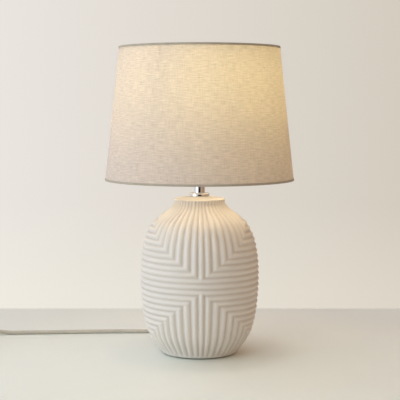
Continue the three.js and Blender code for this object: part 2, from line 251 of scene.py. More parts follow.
def crisp(made, degrees=35):
    """Smooth shading that stays sharp across edges steeper than an angle."""
    made.data.polygons.foreach_set("use_smooth", [True] * len(made.data.polygons))
    made.data.set_sharp_from_angle(angle=math.radians(degrees))
    return made


def joined(name, pieces):
    """Several meshes as one object."""
    with bpy.context.temp_override(active_object=pieces[0], selected_editable_objects=pieces):
        bpy.ops.object.join()
    pieces[0].name = pieces[0].data.name = name
    return pieces[0]


# ---- mains lead ------------------------------
LEAD_R = 3.25
EXIT_Z = 18.0  # height of the lead's hole in the base
COIL_AT = (-399.8, 58.0)
COIL_R = 46.0  # outer turn
COIL_PITCH = 6.6  # from turn to turn
COIL_TURNS = 5.0  # half of them on the table going in, and half on top going out
COIL_LAYERS = (4.3, 10.9)  # heights of the two layers
COIL_CLIMB = 0.3  # share of a turn that the climb between them takes
RUN = [
    (0, 103.3, 18), (0, 109, 17.8), (-2.4, 119, 16), (-10, 130, 12.6), (-23, 138, 8.8), (-40, 141.8, 5.6),
    (-62, 142.2, 3.8), (-94, 141.3, 3.5), (-136, 140.8, 3.5), (-177, 139, 3.5), (-219, 136, 3.5),
    (-260, 133, 3.5), (-301, 130.3, 3.5), (-330, 128.2, 3.8), (-351, 127, 6.2), (-366, 126.5, 6.5),
    (-401, 126.5, 6.5), (-416, 126.4, 6.4), (-426.2, 124.6, 5.7), (-435.2, 119.4, 4.8), (-441.8, 111.5, 4.3),
    (-445.3, 101.8, 4.1), (-445.8, 94, 4.1), (-445.8, 86, 4.2),
]
OVER = [(-446, 46, 10.6)]  # off the coil, beside its outer turn
TAIL = [
    (-446, 31, 8), (-446, 17, 5.4), (-444.3, 6.8, 4.4), (-439.2, -2.5, 4.1), (-430.9, -9.5, 4.5),
    (-421, -13.3, 5.7), (-414.7, -14, 6.6), (-411, -14, 6.9),
]


def smooth_share(x):
    """0 below 0, 1 above 1, and a smooth rise between them."""
    x = np.clip(x, 0, 1)
    return x * x * (3 - 2 * x)


def coil_points(per_turn=24):
    """The coil's turns, anticlockwise from above: a spiral in on the table, a climb, a spiral out on top."""
    out = []
    for i in range(int(COIL_TURNS * per_turn) + 1):
        turn = i / per_turn
        radius = COIL_R - COIL_PITCH * (COIL_TURNS / 2 - abs(turn - COIL_TURNS / 2))
        climb = smooth_share((turn - COIL_TURNS / 2) / COIL_CLIMB + 0.5)
        height = COIL_LAYERS[0] + (COIL_LAYERS[1] - COIL_LAYERS[0]) * climb
        angle = math.pi + 2 * math.pi * turn
        out.append((COIL_AT[0] + radius * math.cos(angle), COIL_AT[1] + radius * math.sin(angle), height))
    return out


def free_lead():
    """The lead outside the lamp. Returns the piece and its centreline."""
    path = smooth_path(RUN + coil_points() + OVER + TAIL, 1.5)
    made = swept("mains_lead", path, LEAD_R, 16)
    return stand_for(made, "lamp", "lead_sheath", "cord_run", "cord_link", "cord_coil", "cord_tail"), path


def coil_tie():
    """A hook-and-loop strap round the coil's section, with its free end lapped over on top."""
    inner, outer = COIL_R - COIL_PITCH * COIL_TURNS / 2 - LEAD_R - 0.4, COIL_R + 0.4
    base, top = 0.95, COIL_LAYERS[1] + LEAD_R + 0.3
    thick, half, edge = 0.7, 4.0, 0.25
    section = [(-half + edge, 0), (half - edge, 0), (half, edge), (half, thick - edge), (half - edge, thick),
               (-half + edge, thick), (-half, thick - edge), (-half, edge)]

    def strap(name, line, loop):
        along = np.roll(line, -1, 0) - np.roll(line, 1, 0) if loop else np.gradient(line, axis=0)
        along /= np.linalg.norm(along, axis=1)[:, None]
        out = np.stack([along[:, 1], -along[:, 0]], 1)
        grid = [[(p[0] + n[0] * h, w, p[1] + n[1] * h) for w, h in section] for p, n in zip(line, out)]
        return skin(name, grid, loop=loop, caps=(not loop, not loop))

    round_coil = rounded(outer - inner, top - base, 4.5, 7)
    lap = np.array([[9.6, 3.2], [8.2, 5.6], [6, 6.9], [3.5, 7.45], [0.5, 7.6], [-2.5, 7.6], [-5, 7.75]])
    made = joined("coil_strap", [strap("strap", round_coil, True), strap("lap", lap, False)])
    placed(made, (COIL_AT[0] + (inner + outer) / 2, COIL_AT[1], (base + top) / 2))
    return stand_for(made, "lamp", "strap", "coil_tie")


# ---- shader helpers --------------------------
SOCKETS = {
    "color": "Base Color", "rough": "Roughness", "metal": "Metallic", "coat": "Coat Weight",
    "coat_rough": "Coat Roughness", "sheen": "Sheen Weight", "sheen_rough": "Sheen Roughness",
    "glow": "Emission Color", "glow_strength": "Emission Strength",
}


def srgb(red, green, blue):
    """A linear colour from 0 to 255 display values."""
    values = np.array([red, green, blue]) / 255
    return (*np.where(values > 0.04045, ((values + 0.055) / 1.055) ** 2.4, values / 12.92).tolist(), 1.0)


def new_material(name, **values):
    """A material with its Principled shader's own sockets set. Returns the material, tree and shader."""
    made = bpy.data.materials.new(name)
    made.use_nodes = True
    shader = made.node_tree.nodes["Principled BSDF"]
    for key, value in values.items():
        shader.inputs[SOCKETS[key]].default_value = value
    return made, made.node_tree, shader


def node(tree, kind, inputs=(), **settings):
    """A shader node whose inputs are set to values or linked to other nodes' outputs."""
    made = tree.nodes.new("ShaderNode" + kind)
    for key, value in settings.items():
        setattr(made, key, value)
    for key, value in dict(inputs).items():
        if isinstance(value, bpy.types.NodeSocket):
            tree.links.new(value, made.inputs[key])
        else:
            made.inputs[key].default_value = value
    return made


def maths(tree, operation, *values):
    return node(tree, "Math", dict(enumerate(values)), operation=operation).outputs[0]


def places(tree, scale=(1, 1, 1), uv=False):
    """Places on the piece in metres, by its mesh or along its UV map, each axis times its scale."""
    at = node(tree, "TexCoord").outputs["UV" if uv else "Object"]
    return node(tree, "Mapping", {"Vector": at, "Scale": scale}).outputs[0]


def noise(tree, at, scale, detail=2.0):
    return node(tree, "TexNoise", {"Vector": at, "Scale": scale, "Detail": detail}).outputs["Fac"]


def ramp(tree, share, first, last, start=0.0, end=1.0):
    made = node(tree, "ValToRGB", {"Fac": share})
    for stop, place, colour in zip(made.color_ramp.elements, (start, end), (first, last)):
        stop.position, stop.color = place, (*colour[:3], 1)
    return made.outputs["Color"]


def bumped(tree, shader, *layers):
    """Adds bump to a shader, one layer for each (height, depth in millimetres)."""
    normal = None
    for height, depth in layers:
        step = node(tree, "Bump", {"Height": height, "Distance": depth * MM, "Strength": 1.0})
        if normal:
            tree.links.new(normal, step.inputs["Normal"])
        normal = step.outputs["Normal"]
    tree.links.new(normal, shader.inputs["Normal"])


def feed(tree, shader, color=None, rough=None):
    for key, value in (("Base Color", color), ("Roughness", rough)):
        if value is not None:
            tree.links.new(value, shader.inputs[key])


# ---- looks: ceramic, cloth and light ---------
# glaze on the ribs, and darker in the grooves: partly thicker glaze, partly painted shade
CERAMIC_CREST, CERAMIC_GROOVE_POOL_AND_SHADE = (0.80, 0.75, 0.70), (0.66, 0.595, 0.535)
# The linen by light that falls on it, and by light from the bulb that comes through it.
LINEN_THIN, LINEN_THICK = (0.885, 0.75, 0.70), (0.585, 0.495, 0.455)
LINEN_LIT, LINEN_LIT_THICK = (0.70, 0.655, 0.415), (0.405, 0.365, 0.20)
LINEN_THREAD = 1.1  # from thread to thread
HEM_LIGHT, HEM_DARK = (0.53, 0.465, 0.375), (0.40, 0.34, 0.26)
BULB_DIM, BULB_BRIGHT, BULB_STRENGTH = (0.25, 0.21, 0.14), (1.0, 0.87, 0.565), 48.5
# The way out of the globe in which it glows most. A real one glows evenly: this places the shade's glow.
BULB_FACES = (0.53, -0.70, -0.475)


def ceramic_look():
    """Matt ivory glaze, clouded and finely specked, darker in the grooves: partly thicker glaze, partly
    painted shade.
    """
    made, tree, shader = new_material("ceramic", coat=0.1, coat_rough=0.3)
    at = places(tree)
    # how deep in a groove a point lies darkens the glaze: partly thicker glaze, partly painted shade
    groove = node(tree, "Attribute", attribute_name="groove").outputs["Fac"]
    cloud, specks = noise(tree, at, 22, 3), noise(tree, at, 1300, 1)
    depth = maths(tree, "POWER", groove, 1.3)
    share = maths(tree, "MULTIPLY_ADD", maths(tree, "SUBTRACT", cloud, 0.5), 0.35, depth)
    share = maths(tree, "MULTIPLY_ADD", maths(tree, "SUBTRACT", specks, 0.5), 0.3, share)
    feed(tree, shader, ramp(tree, share, CERAMIC_CREST, CERAMIC_GROOVE_POOL_AND_SHADE),
         maths(tree, "MULTIPLY_ADD", noise(tree, at, 90, 2), 0.16, 0.36))
    bumped(tree, shader, (noise(tree, at, 260, 3), 0.22), (specks, 0.05))
    return made


def weave(tree, thread):
    """Plain-woven cloth along the UV map. Returns the height of the threads and how thick they run."""
    split = node(tree, "SeparateXYZ", {"Vector": places(tree, uv=True)})
    turns = math.pi / (thread * MM)
    waves = [maths(tree, "SINE", maths(tree, "MULTIPLY", split.outputs[k], turns)) for k in (0, 1)]
    height = maths(tree, "MULTIPLY_ADD", maths(tree, "MULTIPLY", *waves), 0.5, 0.5)
    across = noise(tree, places(tree, (75, 620, 1), True), 1.0, 3)
    along = noise(tree, places(tree, (620, 60, 1), True), 1.0, 2)
    return height, maths(tree, "MULTIPLY_ADD", across, 0.7, maths(tree, "MULTIPLY", along, 0.3))


def let_through(tree, shader, share, colour):
    """Lets a share of the light through the surface, in a colour."""
    through = node(tree, "BsdfTranslucent", {"Color": colour})
    both = node(tree, "MixShader", {0: share, 1: shader.outputs[0], 2: through.outputs[0]})
    tree.links.new(both.outputs[0], tree.nodes["Material Output"].inputs["Surface"])


def linen_look():
    """Greige slub linen that lets warm light through, less where its threads run thick."""
    made, tree, shader = new_material("linen", rough=0.95)
    height, thick = weave(tree, LINEN_THREAD)
    share = maths(tree, "MULTIPLY_ADD", maths(tree, "SUBTRACT", height, 0.5), 0.25, thick)
    feed(tree, shader, ramp(tree, share, LINEN_THIN, LINEN_THICK, 0.25, 0.75))
    bumped(tree, shader, (height, 0.25), (thick, 0.35))
    let_through(tree, shader, 0.2, ramp(tree, share, LINEN_LIT, LINEN_LIT_THICK, 0.25, 0.75))
    return made


def liner_look():
    """Milky plastic sheet behind the cloth."""
    made, tree, shader = new_material("liner", rough=0.45)
    feed(tree, shader, ramp(tree, noise(tree, places(tree), 60, 3), (0.94, 0.92, 0.87), (0.88, 0.86, 0.80)))
    bumped(tree, shader, (noise(tree, places(tree), 900, 1), 0.03))
    let_through(tree, shader, 0.45, (0.95, 0.90, 0.80, 1))
    return made


def hem_look():
    """Linen doubled over the ring, which lets no light through, in a darker colour than the cloth."""
    made, tree, shader = new_material("hem", rough=0.95, sheen=0.15, sheen_rough=0.4)
    height, thick = weave(tree, LINEN_THREAD)
    feed(tree, shader, ramp(tree, thick, HEM_LIGHT, HEM_DARK, 0.3, 0.7))
    bumped(tree, shader, (height, 0.3), (thick, 0.3))
    return made


def opal_look():
    """The lit diffuser, which glows most low down and to one side."""
    made, tree, shader = new_material("opal", color=(1.0, 0.93, 0.82, 1), glow_strength=BULB_STRENGTH)
    feed(tree, shader, rough=maths(tree, "MULTIPLY_ADD", noise(tree, places(tree), 200, 2), 0.1, 0.3))
    centre = Vector((0, 0, high("bulb_globe")[2] - high("bulb_globe")[0])) * MM
    out = node(tree, "VectorMath", {0: places(tree), 1: centre}, operation="SUBTRACT").outputs[0]
    out = node(tree, "VectorMath", {0: out}, operation="NORMALIZE").outputs[0]
    facing = node(tree, "VectorMath", {0: out, 1: BULB_FACES}, operation="DOT_PRODUCT").outputs["Value"]
    share = node(tree, "MapRange", {"Value": facing, "From Min": -1.0, "From Max": 1.0}).outputs[0]
    tree.links.new(ramp(tree, share, BULB_DIM, BULB_BRIGHT), shader.inputs["Emission Color"])
    return made


# ---- looks: metals and plastics --------------
def metal_look(name, light, dark, rough, spread, grain=(1, 1, 1), scratches=0.02):
    """Metal with uneven tarnish. grain stretches its fine marks, and scratches is their depth."""
    made, tree, shader = new_material(name, metal=1.0)
    cloud = noise(tree, places(tree), 120, 3)
    marks = noise(tree, places(tree, grain), 1500, 2)
    feed(tree, shader, ramp(tree, cloud, light, dark, 0.3, 0.8),
         maths(tree, "MULTIPLY_ADD", marks, spread, rough))
    bumped(tree, shader, (marks, scratches))
    return made


def plastic_look(name, light, dark, rough, texture, size=1600, coat=0.0):
    """Moulded plastic with a spark-eroded texture of a depth in millimetres, and slight clouding."""
    made, tree, shader = new_material(name, coat=coat, coat_rough=0.15)
    at = places(tree)
    cloud, grain = noise(tree, at, 70, 3), noise(tree, at, size, 2)
    share = maths(tree, "MULTIPLY_ADD", grain, 0.4, maths(tree, "MULTIPLY", cloud, 0.6))
    feed(tree, shader, ramp(tree, share, light, dark, 0.3, 0.7),
         maths(tree, "MULTIPLY_ADD", cloud, 0.12, rough - 0.06))
    bumped(tree, shader, (grain, texture))
    return made


def fibre_look(name, light, dark, stretch, depth):
    """Felt or hook-and-loop tape: matted fibres."""
    made, tree, shader = new_material(name, rough=1.0, sheen=0.35, sheen_rough=0.5)
    fibres = noise(tree, places(tree, stretch), 900, 4)
    loops = node(tree, "TexVoronoi", {"Vector": places(tree), "Scale": 1100.0}).outputs["Distance"]
    share = maths(tree, "MULTIPLY_ADD", loops, 0.5, maths(tree, "MULTIPLY", fibres, 0.6))
    feed(tree, shader, ramp(tree, share, light, dark, 0.25, 0.8))
    bumped(tree, shader, (fibres, depth), (loops, depth))
    return made


LOOKS = {
    "ceramic": ceramic_look(),
    "linen": linen_look(),
    "liner": liner_look(),
    "hem": hem_look(),
    "opal": opal_look(),
    "chrome": metal_look("chrome", (0.88, 0.88, 0.89), (0.80, 0.80, 0.81), 0.02, 0.09, scratches=0.002),
    "steel": metal_look("steel", (0.62, 0.62, 0.63), (0.42, 0.42, 0.43), 0.28, 0.25),
    "nickel": metal_look("nickel", (0.74, 0.72, 0.68), (0.58, 0.56, 0.52), 0.2, 0.2, (1, 1, 12)),
    "brass": metal_look("brass", (0.72, 0.57, 0.30), (0.52, 0.39, 0.19), 0.25, 0.2),
    "white_wire": plastic_look("white_wire", (0.84, 0.83, 0.80), (0.74, 0.73, 0.69), 0.36, 0.03, 1100, 0.2),
    "black_plastic": plastic_look("black_plastic", (0.035, 0.034, 0.033), (0.02, 0.02, 0.02), 0.42, 0.04),
    "porcelain": plastic_look("porcelain", (0.86, 0.85, 0.81), (0.76, 0.74, 0.69), 0.6, 0.05, 900),
    "bulb_plastic": plastic_look("bulb_plastic", (0.88, 0.87, 0.84), (0.82, 0.81, 0.77), 0.38, 0.02),
    "lead_sheath": plastic_look("lead_sheath", (0.60, 0.55, 0.47), (0.50, 0.46, 0.385), 0.5, 0.05, 1300),
    "fittings": plastic_look("fittings", (0.55, 0.51, 0.43), (0.47, 0.43, 0.36), 0.46, 0.06, 1400),
    "rocker": plastic_look("rocker", (0.60, 0.56, 0.48), (0.54, 0.50, 0.42), 0.3, 0.01, coat=0.3),
    "brown_core": plastic_look("brown_core", (0.16, 0.06, 0.03), (0.10, 0.04, 0.02), 0.4, 0.02),
    "blue_core": plastic_look("blue_core", (0.03, 0.09, 0.24), (0.02, 0.06, 0.17), 0.4, 0.02),
    "rubber": plastic_look("rubber", (0.035, 0.035, 0.033), (0.02, 0.02, 0.02), 0.75, 0.08, 900),
    "felt": fibre_look("felt", (0.11, 0.095, 0.08), (0.045, 0.04, 0.035), (1, 1, 4), 0.4),
    "strap": fibre_look("strap", (0.035, 0.034, 0.033), (0.01, 0.01, 0.01), (1, 3, 1), 0.3),
}


def stand_for(made, body, slot, *nodes):
    """Gives a new piece the look of its slot, its body, and hides the CAD nodes that it stands for."""
    made.data.materials.clear()
    made.data.materials.append(LOOKS[slot])
    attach(made, body)
    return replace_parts(made, *nodes) if nodes else made


def finish_cad_nodes():
    """The CAD nodes that still show get the look of their slot in the record."""
    slots = {part["node"]: part["material_slot"] for part in frame["record"]["subparts"]}
    for name, made in NODES.items():
        if not made.hide_render:
            if not made.material_slots:
                made.data.materials.append(LOOKS[slots[name]])
            for place in made.material_slots:
                place.material = LOOKS[slots[name]]


# ---- ceramic base ----------------------------
# Crests of the ribs, as radius and height: foot, belly, shoulder and neck.
BASE_OUTLINE = [
    (60.5, 2.6), (69.8, 14), (82.2, 33), (89.7, 60), (93.5, 90), (95, 120), (94, 150), (90.1, 176),
    (84.4, 194), (75, 210.5), (60.2, 222.7), (47, 232.4), (41.2, 240), (40.7, 246),
]
BELLY_R, BELLY_Z = 95.0, 120.0
WALL = 6.0
FOOT_HOLE = 40.0
RIB_DEPTH = 2.9  # on the belly, and less where the base is narrower
RIB_RISE = 9.1  # height from one level rib to the next
RIB_TURN = 8.0  # degrees from one upright rib to the next
FRONT_RIB_TURN = 6.35  # degrees from the rib at the very front to its neighbours
FRONT_RIB = 2.0  # degrees that the front rib stands round to the right
RIB_SHARPNESS = 0.6  # below 1 widens the ribs and narrows the grooves
RIBS_END = 246.8  # height at which the ribs have run out
PAD_R = 9.0  # smooth pad round the lead's hole
BASE_COLUMNS = 450


def rib_height(angle, z):
    """0 in a groove, 1 on a rib. Upright ribs at front and back meet level ones at the sides in mitres."""
    from_front = np.abs((np.degrees(angle) + 90 - FRONT_RIB + 180) % 360 - 180)
    from_front = np.minimum(from_front, 180 - from_front)
    upright = np.where(from_front < FRONT_RIB_TURN, from_front / FRONT_RIB_TURN,
                       1 + (from_front - FRONT_RIB_TURN) / RIB_TURN)
    level = np.abs(z - BELLY_Z) / RIB_RISE
    count = np.where(level <= 1, level, np.minimum(upright, level - 1))
    return ((1 + np.cos(2 * math.pi * count)) / 2) ** RIB_SHARPNESS


def ceramic_base():
    """The whole ceramic shell: outside with its ribs, top, inside and the ring foot."""
    outline = smooth_path([(r, 0, z) for r, z in BASE_OUTLINE], 1.42)[:, [0, 2]]
    along = np.gradient(outline, axis=0)
    along /= np.linalg.norm(along, axis=1)[:, None]
    out = np.stack([along[:, 1], -along[:, 0]], 1)
    foot = low("ceramic_base")[2]
    dome = high("ceramic_base")[2]
    before = [(FOOT_HOLE, foot), (50, foot), (58.6, foot), (59.8, foot + 0.25)]
    after = [(40.4, 246.7), (39.6, 247.2), (38, 247.6), (34, 248.4), (28, 249.6), (22, 250.5), (17, dome),
             (5.6, dome), (5.6, dome - WALL), (20, dome - WALL), (30, dome - WALL - 3)]
    inside = (outline - WALL * out)[-22:10:-14].tolist() + [(56, foot + WALL), (FOOT_HOLE, foot + WALL)]
    rows = np.concatenate([before, outline, after, inside])
    push = np.zeros_like(rows)
    push[len(before) : len(before) + len(outline)] = out
    angle = np.linspace(0, 2 * math.pi, BASE_COLUMNS, endpoint=False)[None, :]
    r, z = rows[:, :1], rows[:, 1:]
    ends = smooth_share((z - 3) / 7) * smooth_share((RIBS_END - z) / 1.2)
    depth = RIB_DEPTH * (0.4 + 0.6 * r / BELLY_R) * ends
    off = np.hypot(np.radians((np.degrees(angle) - 90 + 180) % 360 - 180) * r, z - EXIT_Z)
    depth = depth * smooth_share((off - PAD_R) / 6) * (np.abs(push).sum(1, keepdims=True) > 0)
    groove = 1 - rib_height(angle, z)
    radius, height = r - depth * groove * push[:, :1], z - depth * groove * push[:, 1:]
    grid = np.stack([radius * np.cos(angle), radius * np.sin(angle), height], 2)
    made = skin("ribbed_base", grid, loop=True)
    # groove share, more in deeper grooves; it darkens the glaze: partly thicker glaze, partly painted shade
    shade = made.data.attributes.new("groove", "FLOAT", "POINT")
    shade.data.foreach_set("value", (groove * np.minimum(1, depth / 1.6)).astype(np.float32).reshape(-1))
    return stand_for(made, "lamp", "ceramic", "ceramic_base")


def cord_relief():
    """Bushing and ringed, tapered sleeve where the lead leaves the back of the base."""
    inside, tip = low("cord_relief")[1], high("cord_relief")[1]
    profile = [(3.3, inside), (7.4, inside), (7.4, inside + 2), (5.8, inside + 2), (5.8, 66), (7.2, 66.4),
               (7.6, 67), (7.6, 76), (7.1, 77), (5.9, 77.4)]
    rings = 7
    for k in range(rings):
        at = 78.5 + (tip - 80) * k / rings
        wide = 5.6 - 1.3 * k / rings
        profile += [(wide, at), (wide, at + 1.7), (wide - 0.7, at + 2), (wide - 0.75, at + 3)]
    profile += [(4.3, tip - 1.2), (4.1, tip - 0.3), (3.8, tip), (3.3, tip)]
    made = crisp(turned("lead_relief", profile, 40, loop=True), 40)
    return stand_for(placed(made, (0, 0, EXIT_Z), (-90, 0, 0)), "lamp", "fittings", "cord_relief")


# ---- neck and lampholder ---------------------
ROD_R = 5.2  # bore for the threaded rod
HOLDER_PITCH, HOLDER_THREAD = 2.5, 0.7  # the shade ring's thread on the lampholder, and its depth


def neck():
    """Polished flange on the ceramic, and the tube up to the lampholder."""
    radius, floor, top = high("neck_flange")[0], low("neck_flange")[2], high("neck_flange")[2]
    flange = [(ROD_R, floor), (radius - 0.5, floor), (radius, floor + 0.5), (radius, top - 1.3),
              (radius - 0.25, top - 0.6), (radius - 0.8, top - 0.15), (radius - 1.5, top), (10, top),
              (ROD_R, top)]
    stand_for(crisp(turned("flange", flange, 128, loop=True), 50), "lamp", "chrome", "neck_flange")
    radius, floor, top = high("neck_tube")[0], low("neck_tube")[2], high("neck_tube")[2]
    tube = [(ROD_R, floor), (radius - 0.3, floor), (radius, floor + 0.3), (radius, top - 0.5),
            (radius - 0.4, top), (ROD_R, top)]
    stand_for(crisp(turned("stem", tube, 128, loop=True), 50), "lamp", "chrome", "neck_tube")


def thread(pitch, depth, start, end):
    """A ripple for turned(): a screw thread between two heights, cut into the surface."""
    def cut_in(angle, z, radius):
        inside = smooth_share((z - start) / (pitch / 2)) * smooth_share((end - z) / (pitch / 2))
        return -depth * inside * (0.5 + 0.5 * np.cos(2 * math.pi * z / pitch - angle))
    return cut_in


def wall(radius, bottom, top, step):
    """Points up a straight wall, close enough together for a ripple."""
    return [(radius, z) for z in np.linspace(bottom, top, max(2, round((top - bottom) / step) + 1))]


def lampholder():
    """Black cap, shell with its thread for the shade ring, and that ring with its grips."""
    floor, top, radius = low("holder_cap")[2], high("holder_cap")[2], high("holder_cap")[0]
    cap = [(ROD_R, floor), (9.4, floor), (10.6, floor + 0.3), (16.6, floor + 4.4), (18.3, floor + 6.6),
           (radius - 0.3, floor + 10), (radius, floor + 12)]
    cap += wall(radius, floor + 13, top - 0.6, 1) + [(radius - 0.4, top), (radius - 2, top)]
    cap += [(radius - 2, floor + 12.5), (15.4, floor + 6.8), (9, floor + 3), (ROD_R, floor + 3)]

    def ribs(angle, z, r):
        band = smooth_share((z - floor - 12.4) / 0.6) * smooth_share((top - 0.6 - z) / 0.6) * (r > 18.5)
        return -0.35 * band * (0.5 + 0.5 * np.cos(36 * angle)) ** 2
    stand_for(crisp(turned("holder_cap_shell", cap, 216, True, ribs)), "lamp", "black_plastic", "holder_cap")

    floor, top, radius = low("holder_shell")[2], high("holder_shell")[2], high("holder_shell")[0] - 3.6
    ledge = high("carrier_ring")[2] - 1.9
    shell = [(14.3, floor + 4), (17.2, floor + 4), (17.2, floor), (radius - 0.3, floor),
             (radius, floor + 0.4)]
    shell += wall(radius, floor + 1, ledge - 3, 2)
    shell += [(22.6, ledge - 2.2), (23, ledge - 1.8), (23, ledge - 0.3), (22.6, ledge), (radius, ledge)]
    shell += wall(radius, ledge + 0.6, top - 1, 0.32) + [(radius - 0.8, top), (14.9, top), (14.3, top - 0.6)]
    cut_thread = thread(HOLDER_PITCH, HOLDER_THREAD, ledge + 1, top - 0.6)
    stand_for(crisp(turned("holder_outer", shell, 128, True, cut_thread), 60),
              "lamp", "black_plastic", "holder_shell")

    floor, top, radius = low("shade_ring")[2], high("shade_ring")[2], high("shade_ring")[0]
    ring = [(19.9, floor), (radius - 0.4, floor), (radius, floor + 0.4)]
    ring += wall(radius, floor + 0.8, floor + 2.4, 0.8)
    ring += [(23.9, top - 0.9), (23.2, top - 0.2), (22.6, top), (20.3, top), (19.9, top - 0.4)]

    def grips(angle, z, r):
        return np.where(r > 23.5, -0.9 * (0.5 + 0.5 * np.cos(20 * angle)) ** 3, 0)
    stand_for(crisp(turned("clamp_ring_grips", ring, 240, True, grips), 50),
              "clamp_ring", "black_plastic", "shade_ring")


# ---- bulb ------------------------------------
E27_PITCH, E27_DEPTH = 3.63, 1.1
GLOBE_INSIDE = 0.955  # the globe's inside, as a share of its outside


def bulb():
    """Screw cap with its rolled thread, housing and opal globe."""
    floor, top, radius = low("bulb_screw_cap")[2], high("bulb_screw_cap")[2], high("bulb_screw_cap")[0]
    cap = [(0.5, floor), (8.6, floor), (9.5, floor + 0.3), (11.6, floor + 1.6), (radius - 0.5, floor + 3)]
    cap += wall(radius, floor + 4, top - 1.4, 0.33)
    cap += [(radius - 0.1, top - 0.5), (radius - 0.5, top), (0.5, top)]
    rolled = thread(E27_PITCH, E27_DEPTH, floor + 3, top - 2.5)
    stand_for(crisp(turned("screw_cap", cap, 96, True, rolled), 60), "bulb", "nickel", "bulb_screw_cap")

    floor, top, radius = low("bulb_housing")[2], high("bulb_housing")[2], high("bulb_housing")[0]
    body = smooth_path([(13.2, 0, floor), (13.9, 0, floor + 2), (15.1, 0, floor + 6), (18.4, 0, floor + 15),
                        (21.2, 0, top - 5), (radius, 0, top)], 0.9)[:, [0, 2]].tolist()

    def flutes(angle, z, r):
        band = smooth_share((z - floor - 3) / 4) * smooth_share((top - 4 - z) / 4)
        return -0.5 * band * (0.5 + 0.5 * np.cos(24 * angle)) ** 4 * (r > 13)
    rim = [(21.4, top + 0.1), (21, top - 0.4), (18, top - 2.2), (0.5, top - 2.2)]
    body = [(0.5, floor), (12.6, floor)] + body + rim
    made = crisp(turned("bulb_body", body, 192, True, flutes), 50)
    stand_for(made, "bulb", "bulb_plastic", "bulb_housing")

    top, radius = high("bulb_globe")[2], high("bulb_globe")[0]
    seat, centre = low("bulb_globe")[2], top - radius
    start = math.asin((seat - centre) / radius)
    up = [(radius * math.cos(a), centre + radius * math.sin(a)) for a in np.linspace(start, 1.5665, 40)]
    down = [(r * GLOBE_INSIDE, centre + (z - centre) * GLOBE_INSIDE) for r, z in up[::-4]]
    down[-1] = (down[-1][0], seat)
    stand_for(turned("opal_globe", up + down, 96, loop=True), "bulb", "opal", "bulb_globe")


# ---- shade -----------------------------------
SHADE_LOW, SHADE_HIGH = low("bottom_hem")[2], high("top_hem")[2]
SHADE_R_LOW, SHADE_R_HIGH = high("bottom_hem")[0], high("top_hem")[0]
CLOTH_IN = 0.7  # from the hems' outer face in to the cloth's
LINING_BEHIND = 1.3  # from the cloth's face in to the lining's
OVERLAP, OVERLAP_OUT = 8, 0.35  # the cloth's glued overlap: its width, and how far it stands out
WIRE_R = 1.5
ARMS, FIRST_ARM = 3, 3  # how many, and degrees that the first one stands round from +X
SHADE_COLUMNS = 192


def shade_radius(z):
    """Outside of the shade at a height."""
    return SHADE_R_LOW + (SHADE_R_HIGH - SHADE_R_LOW) * (z - SHADE_LOW) / (SHADE_HIGH - SHADE_LOW)


def cone(name, depth, bottom, top, start=0.0, end=2 * math.pi, columns=SHADE_COLUMNS, rows=36):
    """A sheet on the shade's cone, a depth in from its outside, between two heights and two angles."""
    whole = end - start > 6.28
    angle = np.linspace(start, end, columns, endpoint=not whole)
    z = np.linspace(bottom, top, rows)[:, None]
    radius = shade_radius(z) - depth
    grid = np.stack([radius * np.cos(angle), radius * np.sin(angle), z + 0 * angle], 2)
    return skin(name, grid, around=whole)


def hem(name, nodes, edge, up):
    """The turned edge round a ring: outer leg, fold and inner leg. up is 1 at the bottom, -1 at the top."""
    thick, depth, inner, soft = 0.6, 3.3, 6.7, 0.25
    at = [(0, depth - soft), (0, soft), (soft, 0), (inner + thick - soft, 0), (inner + thick, soft),
          (inner + thick, depth + 1), (inner, depth + 1), (inner, thick), (thick, thick), (thick, depth),
          (soft, depth)]
    profile = [(shade_radius(edge + up * h) - deep, edge + up * h) for deep, h in at]
    made = turned(name, profile[::-1] if up > 0 else profile, 240, True, pucker)
    return stand_for(crisp(made, 50), "shade", "hem", nodes)


def pucker(angle, z, radius):
    """Slight unevenness of cloth turned over by hand."""
    return 0.09 * np.sin(23 * angle + 0.3 * z) + 0.06 * np.sin(57 * angle + 1.7)


def shade_sheets():
    """The linen with its glued overlap at the back, and the plastic lining behind it."""
    bottom, top = SHADE_LOW + 0.8, SHADE_HIGH - 0.8
    cloth = stand_for(cone("shade_cloth", CLOTH_IN, bottom, top), "shade", "linen", "shade_fabric")
    overlap = OVERLAP / (SHADE_R_LOW - 4)
    lap = cone("shade_overlap", CLOTH_IN - OVERLAP_OUT, bottom + 0.2, top - 0.2,
               math.pi / 2, math.pi / 2 + overlap, 5)
    stand_for(lap, "shade", "linen")
    hems = [hem("hem_low", "bottom_hem", SHADE_LOW, 1), hem("hem_high", "top_hem", SHADE_HIGH, -1)]
    lining = cone("shade_lining", CLOTH_IN + LINING_BEHIND, bottom, top)
    stand_for(lining, "shade", "liner", "shade_liner")
    lining.visible_shadow = False  # so that the bulb's light reaches the cloth


def ring_wire(name, nodes):
    """A white ring wire, with the slight lump of its butt weld."""
    radius, z = high(nodes)[0] - WIRE_R, middle(nodes)[2]
    a = np.linspace(0, 2 * math.pi, 240, endpoint=False)
    lump = 0.25 * np.exp(-(((a - 1.9) * radius / 3) ** 2))
    path = np.stack([radius * np.cos(a), radius * np.sin(a), np.full(len(a), z)], 1)
    return stand_for(swept(name, path, WIRE_R + lump, 14, loop=True), "shade", "white_wire", nodes)


